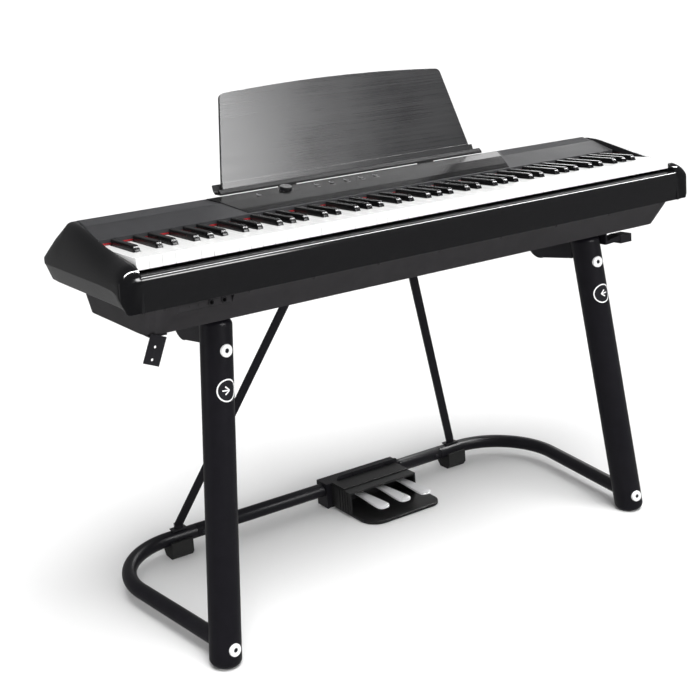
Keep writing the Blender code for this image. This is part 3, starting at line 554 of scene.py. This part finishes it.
def build_keys():
    """Four fixed combs and the twelve keys of the middle octave."""
    whites, blacks = MIDDLE_WHITE, MIDDLE_BLACK
    for name, first, last in (("white_keys_bass", 0, whites),
                              ("white_keys_treble", whites + len(WHITE_NOTES), WHITE_COUNT)):
        piece("caps_" + name, white_mesh(first, last, name), "ivory", stands_for=(name,), bevel=0.7)
    for name, row in (("black_keys_bass", BLACKS[:blacks]),
                      ("black_keys_treble", BLACKS[blacks + len(BLACK_NOTES):])):
        mesh = joined([loft(black_shape(x), name) for x in row], name)
        piece("caps_" + name, mesh, "ebony", stands_for=(name,), angle=40)
    for i, note in enumerate(WHITE_NOTES, whites):
        node = "key_" + note
        piece("cap_" + note, white_mesh(i, i + 1, node), "ivory", node, (node,), bevel=0.7)
    for i, note in enumerate(BLACK_NOTES, blacks):
        node = "key_" + note
        piece("cap_" + note, loft(black_shape(BLACKS[i]), node), "ebony", node, (node,), angle=40)


# ------------------------------------------------------------------ console
SLOPE = atan2(CONSOLE_RISE, CONSOLE_RUN)
CONSOLE_NORMAL = Vector((0, -sin(SLOPE), cos(SLOPE)))
CONSOLE_RIGHT = Vector((1, 0, 0))
CONSOLE_AHEAD = CONSOLE_NORMAL.cross(CONSOLE_RIGHT)
PRINT_FILM = 0.12
# name: x, y, radius, height above the console, start below or above it, rounding of the top edge
CONTROLS = {"power_button": (-256.0, 207.0, 4.5, 1.4, -4.0, 1.0),
            "volume_knob": (*KNOB_AT, 12.0, 7.0, 0.4, 1.6),
            **{"function_button_%d" % (i + 1): (-125.0 + 35.0 * i, 209.0, 4.5, 1.4, -4.0, 1.0)
               for i in range(5)}}


def console_point(x, y, height):
    """Point above the console's sloping face."""
    start_y, start_z = CONSOLE_START
    on_face = Vector((x, y, start_z + (y - start_y) * CONSOLE_RISE / CONSOLE_RUN))
    return on_face + CONSOLE_NORMAL * height


def on_console(x, y, height, outline):
    """Outline drawn on the console round a point, x to the right and y to the rear."""
    base = console_point(x, y, height)
    return [tuple(base + CONSOLE_RIGHT * a + CONSOLE_AHEAD * b) for a, b in outline]


def rectangle(x0, x1, y0, y1):
    return [(x0, y0), (x1, y0), (x1, y1), (x0, y1)]


def build_controls():
    """Buttons and knob with dished tops, and the marks printed round them."""
    for name, (x, y, radius, height, start, soft) in CONTROLS.items():
        reach = height - start
        stations = [(0, radius), (reach - soft, radius)]
        stations += [(reach - soft + soft * sin(a), radius - soft * (1 - cos(a)))
                     for a in (radians(v) for v in (22, 45, 68, 90))]
        dish = radius - soft - 0.8
        stations += [(reach - 0.05, dish), (reach - 0.35, dish * 0.6), (reach - 0.45, 0.2)]
        mesh = turned(console_point(x, y, start), CONSOLE_NORMAL, stations, name)
        piece("cap_" + name, mesh, "button", name, (name,), angle=50)
    ring = on_console(*KNOB_AT, 6.95, rectangle(-0.5, 0.5, 4.5, 9.5))
    piece("knob_pointer", prism([(ring, tuple(CONSOLE_NORMAL * 0.25))], "knob_pointer"), "print",
          "volume_knob")
    rings = []
    for name, (x, y, radius, *_) in CONTROLS.items():
        gap = radius + (3.0 if name != "volume_knob" else 2.0)
        rings.append(on_console(x, y, 0.02, arc(0, gap + 1.2, 1.3, 0, 330, 11)))
        if name.startswith("function"):
            rings.append(on_console(x, y, 0.02, rectangle(-4, 4, -gap - 1.6, -gap - 0.8)))
    for k in range(-5, 6):
        a = radians(90 - k * 27)
        dot = [(cos(a) * 15 + 0.6 * cos(t), sin(a) * 15 + 0.6 * sin(t))
               for t in (2 * pi * i / 8 for i in range(8))]
        rings.append(on_console(*KNOB_AT, 0.02, dot))
    marks = [(ring, tuple(CONSOLE_NORMAL * PRINT_FILM)) for ring in rings]
    piece("console_marks", prism(marks, "console_marks"), "print")


# ------------------------------------------------------------------ music rest
def build_music_rest():
    """Board with rounded top corners and a crowned top edge, and the lip along its foot."""
    low, high = REST_HALF
    up = Vector((0, sin(REST_LEAN), cos(REST_LEAN)))
    out = Vector((0, -cos(REST_LEAN), sin(REST_LEAN)))
    base = Vector((0, *REST_AT))
    inner = high - REST_CORNER
    crown = []
    for i in range(1, 32):
        t = 1 - 2 * i / 32
        crown.append((inner * t, REST_HEIGHT + REST_CROWN * (1 - t * t)))
    half = [(low - 4, 0), (low, 3.5)] + arc(inner, REST_HEIGHT - REST_CORNER, REST_CORNER, 4, 88, 9)
    board = half + crown + [(-x, y) for x, y in reversed(half)]
    lip = [(-low + 1, 1.0), (low - 1, 1.0), (low - 3.2, 13.4), (-low + 3.2, 13.4)]
    front = REST_THICK / 2
    for name, outline, start, thick, stands_for, bevel in (
            ("rest_board", board, -front, REST_THICK, ("music_rest_board",), 0.9),
            ("rest_board_lip", lip, front - 0.2, 1.3, (), 0.5)):
        ring = [tuple(base + Vector((x, 0, 0)) + up * s + out * start) for x, s in outline]
        piece(name, prism([(ring, tuple(out * thick))], name), "board", "music_rest", stands_for,
              bevel=bevel)


# ------------------------------------------------------------------ stand
def leg_point(z, side):
    """Point on a leg's axis at a height."""
    point = LEG_HIGH.lerp(LEG_LOW, (z - LEG_HIGH.z) / (LEG_LOW.z - LEG_HIGH.z))
    return Vector((side * point.x, point.y, z))


def leg_frame(side):
    """A leg's axis, the direction its bolts face, and the direction across both."""
    axis = (leg_point(-700, side) - leg_point(-200, side)).normalized()
    front = Vector((-side * sin(CAP_TURN), -cos(CAP_TURN), 0))
    normal = (front - axis * front.dot(axis)).normalized()
    return axis, normal, axis.cross(normal)


def on_leg(side, z, u, v, lift):
    """Point wrapped onto the leg: u round it and v up it, mm, from the bolt side."""
    axis, normal, across = leg_frame(side)
    turn = u / LEG_RADIUS
    radial = normal * cos(turn) + across * sin(turn)
    return leg_point(z, side) - axis * v + radial * (LEG_RADIUS + lift)


def wrapped(side, z, outer, inner, lift, name, sides=64):
    """Ring laid on the leg's surface, slightly proud of it."""
    bm = bmesh.new()
    steps = [inner, (inner + outer) / 2, outer]
    rows = []
    for height in (lift, lift - FILM):
        for radius in (steps if height == lift else [outer, inner]):
            rows.append([bm.verts.new(place(*on_leg(side, z, radius * cos(a), radius * sin(a), height)))
                         for a in (2 * pi * k / sides for k in range(sides))])
    for near, far in zip(rows, rows[1:] + rows[:1]):
        bridge(bm, near, far)
    return mesh_from(bm, name)


def stroke(side, z, a, b, width, lift, steps=6):
    """Straight bar laid on the leg's surface."""
    bm = bmesh.new()
    a, b = Vector(a), Vector(b)
    across = Vector((-(b - a).y, (b - a).x)).normalized() * width / 2
    rows = []
    for t in (i / steps for i in range(steps + 1)):
        left, right = a.lerp(b, t) + across, a.lerp(b, t) - across
        corners = ((left, lift), (right, lift), (right, lift - FILM), (left, lift - FILM))
        rows.append([bm.verts.new(place(*on_leg(side, z, q.x, q.y, h))) for q, h in corners])
    for near, far in zip(rows, rows[1:]):
        bridge(bm, near, far)
    bm.faces.new(rows[0])
    bm.faces.new(rows[-1])
    return mesh_from(bm, "stroke")


def build_legs():
    """Legs with rounded ends, cut level where they would pass the floor, and their labels."""
    soft = [radians(a) for a in range(0, 91, 10)]
    for name, side in names("leg"):
        top = leg_point(LEG_TOP_Z, side)
        axis = (leg_point(LEG_FOOT_Z, side) - top).normalized()
        low = (FLOOR - LEG_TOP_Z) / axis.z - 0.2
        stations = [(LEG_ROUND * (1 - sin(a)), LEG_RADIUS - LEG_ROUND * (1 - cos(a)))
                    for a in reversed(soft)]
        stations = [(0, 3.0)] + stations
        stations += [(low - LEG_ROUND * (1 - sin(a)), LEG_RADIUS - LEG_ROUND * (1 - cos(a)))
                     for a in soft]
        mesh = turned(top, axis, stations, name, sides=72)
        for vert in mesh.vertices:
            vert.co.z = max(vert.co.z, 0.0)
        piece("tube_" + name, mesh, "steel", stands_for=(name,), angle=45)
        piece("label_disc_" + name, wrapped(side, LABEL_Z, 19.0, 0.4, 0.5, name), "label")
        piece("label_ring_" + name, wrapped(side, LABEL_Z, 20.0, 17.6, 0.75, name), "cap")
        arrow = [((-side * 4.5, 7), (side * 4, 0)), ((side * 4, 0), (-side * 4.5, -7)),
                 ((-side * 10, 0), (side * 3, 0))]
        mark = joined([stroke(side, LABEL_Z, a, b, 2.2, 0.8) for a, b in arrow], name)
        piece("label_mark_" + name, mark, "cap")
    for end, z in CAP_HEIGHTS:
        for stem, side in names("bolt_cap"):
            build_bolt_cap(stem + "_" + end, z, side)


def build_bolt_cap(node, z, side):
    """White ring on the leg with a dark hollow screw in it."""
    normal = leg_frame(side)[1]
    start = leg_point(z, side) + normal * (LEG_RADIUS - CAP_SINK)
    ring = [(0, 11.4), (4.4, 11.4), (5.2, 11.0), (5.7, 10.2), (5.7, 4.6), (5.3, 4.2), (3.6, 4.0)]
    screw = [(0, 3.9), (1.3, 3.9), (1.5, 3.6), (1.5, 2.4), (0.4, 2.3)]
    piece("ring_" + node, turned(start, normal, ring, node), "cap", stands_for=(node,), angle=50)
    start += normal * 3.4
    piece("screw_" + node, turned(start, normal, screw, node, sides=24), "hex")


def rail_path(side):
    """Axis of a side tube: back from the leg along the floor, then round the bend."""
    centre_y = TUBE_REAR_Y - TUBE_BEND
    bend = arc(TUBE_BEND_X, centre_y, TUBE_BEND, -RAIL_ANGLE * 180 / pi, 90, 40)
    x, y = bend[0]
    first_x = x - (y - TUBE_START_Y) * tan(RAIL_ANGLE)
    path = [(between(first_x, x, t), between(TUBE_START_Y, y, t)) for t in (0, 0.3, 0.6, 0.9)]
    path += bend + [(TUBE_JOINT_X + 0.3, TUBE_REAR_Y)]
    run = TUBE_REAR_Y - TUBE_START_Y
    return [(side * px, py, between(TUBE_FRONT_Z, TUBE_REAR_Z, (py - TUBE_START_Y) / run))
            for px, py in path]


def build_base():
    """Two bent side tubes, the centre tube between them, and the screws at the joints."""
    for name, side in names("base_tube"):
        piece("rail_" + name, tube(rail_path(side), TUBE_RADIUS, name), "steel", stands_for=(name,),
              angle=50)
    half = TUBE_JOINT_X - 0.3
    stations = [(0, TUBE_RADIUS - 0.8), (0.9, TUBE_RADIUS), (2 * half - 0.9, TUBE_RADIUS),
                (2 * half, TUBE_RADIUS - 0.8)]
    start = Vector((-half, TUBE_REAR_Y, TUBE_REAR_Z))
    piece("rail_centre", turned(start, (1, 0, 0), stations, "centre"), "steel",
          stands_for=("base_tube_centre",), angle=50)
    for name, side in names("joint_screw"):
        at = Vector((side * (TUBE_JOINT_X - 14), TUBE_REAR_Y - TUBE_RADIUS + 1.0, TUBE_REAR_Z))
        stations = [(0, 4.5), (1.6, 4.5), (2.6, 3.6), (3.0, 2.4), (3.0, 1.6), (2.0, 1.5)]
        piece(name, turned(at, (0, -1, 0), stations, name, sides=24), "hex")


# ------------------------------------------------------------------ pedals
def pedal_rings(x):
    """Level lever, wider toward a rounded, turned-down tip; stations are (y, half width)."""
    low, level = PEDAL_Z - PEDAL_HALF_THICK, PEDAL_Z + PEDAL_HALF_THICK
    stations = [(436, 9), (410, 9), (392, 9), (380, 9.7), (360, 11.4), (340, 13.1), (322, 14.6),
                (312, 15), (305, 14.6), (301, 13.2), (298.4, 11), (PEDAL_TIP_Y + 0.8, 8.2),
                (PEDAL_TIP_Y + 0.1, 5)]
    rings = []
    for y, half in stations:
        top = level - 2.0 * max(0.0, (PEDAL_TIP_Y + 12 - y) / 12) ** 2
        points = [(-half, low), (half, low), (half, top), (-half, top)]
        ring = filleted(points, (0.8, 0.8, 1.6, 1.6), steps=4)
        rings.append([(x + a, y, z) for a, z in ring])
    return rings


def build_pedals():
    """Three levers, and the ribs and the step on the outside of their housing."""
    for name, x in zip(("pedal_left", "pedal_middle", "pedal_right"), PEDAL_X):
        piece("lever_" + name, loft(pedal_rings(x), name), "chrome", name, (name,), angle=50)
    x0, x1 = HOUSING_X
    low, high = -741, -692
    ribs = [([(x0, y, low), (x0, y + 2.4, low), (x0, y + 2.4, high), (x0, y, high)], (-1.4, 0, 0))
            for y in (372.5, 382, 391.5, 401, 412)]
    piece("housing_ribs", prism(ribs, "housing_ribs"), "pedalbox", bevel=0.4)
    step = [(flat(rectangle(x0 + 0.6, x1 - 0.6, 396, 443.4), -691.2), (0, 0, 3.4))]
    piece("housing_step", prism(step, "housing_step"), "pedalbox", bevel=1.2)


# ------------------------------------------------------------------ carried-over CAD nodes
CARRIED = {                    # node: material, width of its soft edges
    "lower_case": ("lower", 1.2), "top_panel": ("panel", 0.5), "control_panel": ("console", 0.6),
    "speaker_grille_left": ("cloth", 0.4), "speaker_grille_right": ("cloth", 0.4),
    "speaker_left": ("cone", 0.3), "speaker_right": ("cone", 0.3), "key_bed": ("chassis", 0.3),
    "key_felt": ("felt", 0.3), "main_board": ("circuit", 0.2), "jack_plate": ("lower", 0.3),
    "rear_jack_plate": ("lower", 0.3), "music_rest_ledge": ("ledge", 0.6),
    "rear_foot_left": ("rubber", 1.5), "rear_foot_right": ("rubber", 1.5),
    "brace_left": ("steel", 0.6), "brace_right": ("steel", 0.6),
    "support_arm_left": ("steel", 0.6), "support_arm_right": ("steel", 0.6),
    "hook_strip": ("steel", 0.4), "pedal_base": ("pedalbox", 1.0),
    "pedal_housing": ("pedalbox", 1.2), "pedal_clamp": ("steel", 0.6),
}


def build_panel_lip():
    """Folded front edge of the top panel, in front of the felt strip."""
    ring = flat(rectangle(-WELL_HALF + 1, WELL_HALF - 1, 147.6, 148.7), 4.4)
    piece("panel_lip", prism([(ring, (0, 0, 6.8))], "panel_lip"), "panel", bevel=0.3)


def dress_nodes():
    """Materials and soft edges for the CAD nodes that show as they are."""
    for name, (material, width) in CARRIED.items():
        obj = NODES[name]
        obj.data.materials.clear()
        obj.data.materials.append(M[material])
        soften(obj, width, 32, segments=2)


def hoop(centre, stations, name, sides=48):
    """Open ring about the y axis through centre; stations are (y offset, radius) round its section."""
    bm = bmesh.new()
    rows = []
    for dy, radius in stations:
        rows.append([bm.verts.new(place(centre[0] + radius * cos(a), centre[1] + dy,
                                        centre[2] + radius * sin(a)))
                     for a in (2 * pi * k / sides for k in range(sides))])
    for near, far in zip(rows, rows[1:] + rows[:1]):
        bridge(bm, near, far)
    return mesh_from(bm, name)


def build_sockets():
    """Raised rims of the two headphone sockets."""
    stations = [(0, 4.9), (-1.2, 4.9), (-1.6, 4.5), (-1.6, 3.7), (-1.2, 3.4), (0, 3.4)]
    for i, x in enumerate(JACKS_X):
        name = "socket_ring_%d" % (i + 1)
        piece(name, hoop((x, -3.9, -94.0), stations, name), "socket", angle=40)


# ------------------------------------------------------------------ studio
FLOOR_SIZE = 60.0              # half width, m
BACKDROP = ((-60, 40, -30), (90, 40, -30), (90, 40, 60), (-60, 40, 60))  # corners, m
SKY, SKY_IN_REFLECTIONS = 0.5, 0.30
SUN_POWER, SUN_SPREAD, SUN_AIM = 2.75, radians(34), (0.05, 0.45, -1)
# name: place, aim and size (m), power (W), whether it lights matte surfaces and shows in glossy ones
LIGHTS = {
    "lip_strip": ((1.3, -0.75, 3.0), (1.3, -0.2, 0.7), (5.5, 0.34), 560, False, True),
    "front_box": ((-0.6, -3.4, 1.5), (-0.1, 0.1, 0.8), (3.0, 0.6), 42, True, False),
    "board_box": ((1.0, -2.95, 2.0), (-0.35, 0.03, 0.85), (0.75, 1.0), 72, False, True),
    "rear_box": ((3.5, 2.3, 2.3), (0.45, 0.0, 0.78), (1.4, 1.4), 36, False, True),
    "left_strip": ((-3.0, 0.6, 0.9), (-0.4, 0, 0.6), (0.5, 1.6), 2.5, True, True),
}
CAMERA_AT = (-1309.8, -1601.3, 337.6)      # mm, in the CAD file's measures
CAMERA_YAW, CAMERA_PITCH, CAMERA_ROLL = radians(28.254), radians(9.277), radians(-5.038)
CAMERA_LENS, CAMERA_SENSOR = 57.94, 36.0   # mm
CAMERA_SHIFT = (0.18189, -0.18917)


def aimed(direction):
    """Rotation that turns a lamp's face to a direction."""
    return Vector(direction).to_track_quat("-Z", "Y").to_euler()


def build_surround():
    """Bright floor, and a white backdrop that only the camera sees."""
    bm = bmesh.new()
    bmesh.ops.create_grid(bm, x_segments=1, y_segments=1, size=FLOOR_SIZE)
    floor = put("studio_floor", mesh_from(bm, "studio_floor"))
    g = Graph("floor_white")
    g.set("Base Color", (0.86, 0.86, 0.86, 1.0))
    g.set("Roughness", 0.9)
    g.set("Specular IOR Level", 0.0)
    floor.data.materials.append(g.material)
    floor.visible_glossy = False
    bm = bmesh.new()
    bm.faces.new([bm.verts.new(Vector(at)) for at in BACKDROP])
    backdrop = put("studio_backdrop", mesh_from(bm, "studio_backdrop"))
    g = Graph("backdrop_white")
    g.set("Emission Color", (1, 1, 1, 1))
    g.set("Emission Strength", 1.1)
    backdrop.data.materials.append(g.material)
    backdrop.visible_diffuse = False
    backdrop.visible_glossy = False
    backdrop.visible_shadow = False


def build_world():
    """White sky that is dimmer in reflections, so that gloss black stays black."""
    world = bpy.data.worlds.new("studio")
    bpy.context.scene.world = world
    world.use_nodes = True
    tree = world.node_tree
    sky = tree.nodes["Background"]
    sky.inputs["Color"].default_value = (1, 1, 1, 1)
    sky.inputs["Strength"].default_value = SKY
    dark = tree.nodes.new("ShaderNodeBackground")
    dark.inputs["Strength"].default_value = SKY_IN_REFLECTIONS
    seen = tree.nodes.new("ShaderNodeLightPath")
    pick = tree.nodes.new("ShaderNodeMixShader")
    tree.links.new(seen.outputs["Is Glossy Ray"], pick.inputs[0])
    tree.links.new(sky.outputs[0], pick.inputs[1])
    tree.links.new(dark.outputs[0], pick.inputs[2])
    tree.links.new(pick.outputs[0], tree.nodes["World Output"].inputs["Surface"])


def build_lights():
    """A wide soft sun for the floor's shadows, and five area lights."""
    sun = bpy.data.lights.new("sky_sun", "SUN")
    sun.energy = SUN_POWER
    sun.angle = SUN_SPREAD
    lamp = put("sky_sun", sun)
    lamp.rotation_euler = aimed(SUN_AIM)
    lamp.visible_glossy = False
    for name, (at, aim, size, power, matte, glossy) in LIGHTS.items():
        light = bpy.data.lights.new(name, "AREA")
        light.shape = "RECTANGLE"
        light.size, light.size_y = size
        light.energy = power
        lamp = put(name, light)
        lamp.location = at
        lamp.rotation_euler = aimed(Vector(aim) - Vector(at))
        lamp.visible_diffuse = matte
        lamp.visible_glossy = glossy


def build_camera():
    """Camera with a shifted lens, at the place and angle that the keys' edges give."""
    yaw, pitch, roll = CAMERA_YAW, CAMERA_PITCH, CAMERA_ROLL
    ahead = Vector((sin(yaw) * cos(pitch), cos(yaw) * cos(pitch), -sin(pitch)))
    level = Vector((cos(yaw), -sin(yaw), 0))
    above = level.cross(ahead)
    right = level * cos(roll) + above * sin(roll)
    up = above * cos(roll) - level * sin(roll)
    camera = bpy.data.cameras.new("camera")
    camera.sensor_width = CAMERA_SENSOR
    camera.lens = CAMERA_LENS
    camera.shift_x, camera.shift_y = CAMERA_SHIFT
    camera.clip_end = 200.0
    obj = put("camera", camera)
    turn = Matrix((right, up, -ahead)).transposed().to_4x4()
    obj.matrix_world = Matrix.Translation(place(*CAMERA_AT)) @ turn
    bpy.context.scene.camera = obj


build_camera()
build_upper_case()
build_keys()
build_controls()
build_music_rest()
dress_nodes()
build_panel_lip()
build_sockets()
build_legs()
build_base()
build_pedals()
build_surround()
build_world()
build_lights()
bpy.context.scene.view_settings.view_transform = "Standard"
